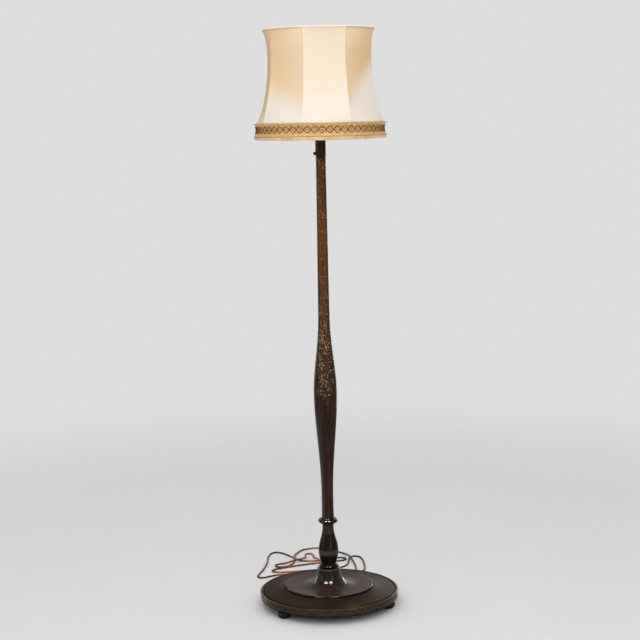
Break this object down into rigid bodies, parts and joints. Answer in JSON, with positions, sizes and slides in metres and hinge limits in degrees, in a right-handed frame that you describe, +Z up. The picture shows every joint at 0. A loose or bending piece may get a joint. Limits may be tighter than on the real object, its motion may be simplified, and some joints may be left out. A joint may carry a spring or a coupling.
{
  "type": "candlestick floor lamp",
  "caption": "Floor lamp: turned wooden candlestick column on a round base with bun feet, turn switch, lamp holder with bulb and a panelled fabric bell shade on a wire frame.",
  "frame": {"origin": "on the floor, on the column's axis", "axes": "+Z up along the column, -Y towards the viewer, the switch on -X and the cord leaving at +Y"},
  "size_m": [0.3963, 0.7288, 1.55],
  "materials": {
    "wood_base": "dark stained and lacquered, worn at the rim",
    "wood_column": "dark stained walnut tone, lacquered, speckled wear on the swell",
    "wood_black": "ebonised and glossy",
    "steel": "plain zinc-plated steel",
    "blackened_tin": "black japanned tin",
    "housing_metal": "dark bronzed tube",
    "brass": "plain turned brass",
    "bakelite": "black-brown bakelite",
    "porcelain": "white glazed",
    "bulb_metal": "threaded cap",
    "bulb_glass": "soft white frosted",
    "frame_wire": "cream painted wire",
    "cover_cloth": "cream satin stretched in panels",
    "lining_cloth": "peach lining",
    "edge_cloth": "folded piping and hem roll",
    "braid_cloth": "gold woven braid with a brown interlaced band",
    "rubber": "moulded",
    "lead_sheath": "red-brown sheath",
    "plug_plastic": "moulded",
    "pin_metal": "bright nickel"
  },
  "bodies": {
    "stand": {"base_plate": "wood_base", "pedestal": "wood_base", "bun_foot_rear": "wood_black", "bun_foot_left": "wood_black", "bun_foot_right": "wood_black", "foot_screw_rear": "steel", "foot_screw_left": "steel", "foot_screw_right": "steel", "chamber_cover": "blackened_tin", "cover_screws": "steel", "tie_tube": "steel", "tie_washer": "steel", "tie_nut": "steel", "vase": "wood_column", "collar_ring": "wood_black", "shaft": "wood_column", "pole_nipple": "brass", "switch_housing": "housing_metal", "housing_nut": "brass", "housing_cap": "housing_metal", "top_nipple": "brass", "switch_body": "bakelite", "switch_nut": "housing_metal", "inner_lead": "lead_sheath", "holder_wires": "lead_sheath", "holder_cup": "bakelite", "holder_barrel": "bakelite", "holder_insert": "porcelain", "screw_shell": "brass", "centre_contact": "brass", "shade_ring_nut": "bakelite", "bulb_cap": "bulb_metal", "bulb_glass": "bulb_glass", "bulb_filament": "steel", "cord_bush": "bakelite", "strain_relief": "rubber", "cord_run": "lead_sheath", "plug_body": "plug_plastic", "plug_pins": "pin_metal"},
    "knob": {"switch_spindle": "brass", "switch_knob": "bakelite"},
    "shade": {"shade_spider": "frame_wire", "top_wire": "frame_wire", "gallery_wire": "frame_wire", "bottom_wire": "frame_wire", "shade_struts": "frame_wire", "gallery_struts": "frame_wire", "shade_cover": "cover_cloth", "shade_lining": "lining_cloth", "top_piping": "edge_cloth", "gallery_band": "braid_cloth", "gallery_lining": "lining_cloth", "hem_roll": "edge_cloth"}
  },
  "joints": [
    {"name": "switch_turn", "type": "hinge", "parent": "stand", "child": "knob", "pos_m": [-0.0155, 0, 1.2262], "axis": [-1, 0, 0], "continuous": true},
    {"name": "shade_swivel", "type": "hinge", "parent": "stand", "child": "shade", "pos_m": [0, 0, 1.338], "axis": [0, 0, 1], "continuous": true}
  ]
}
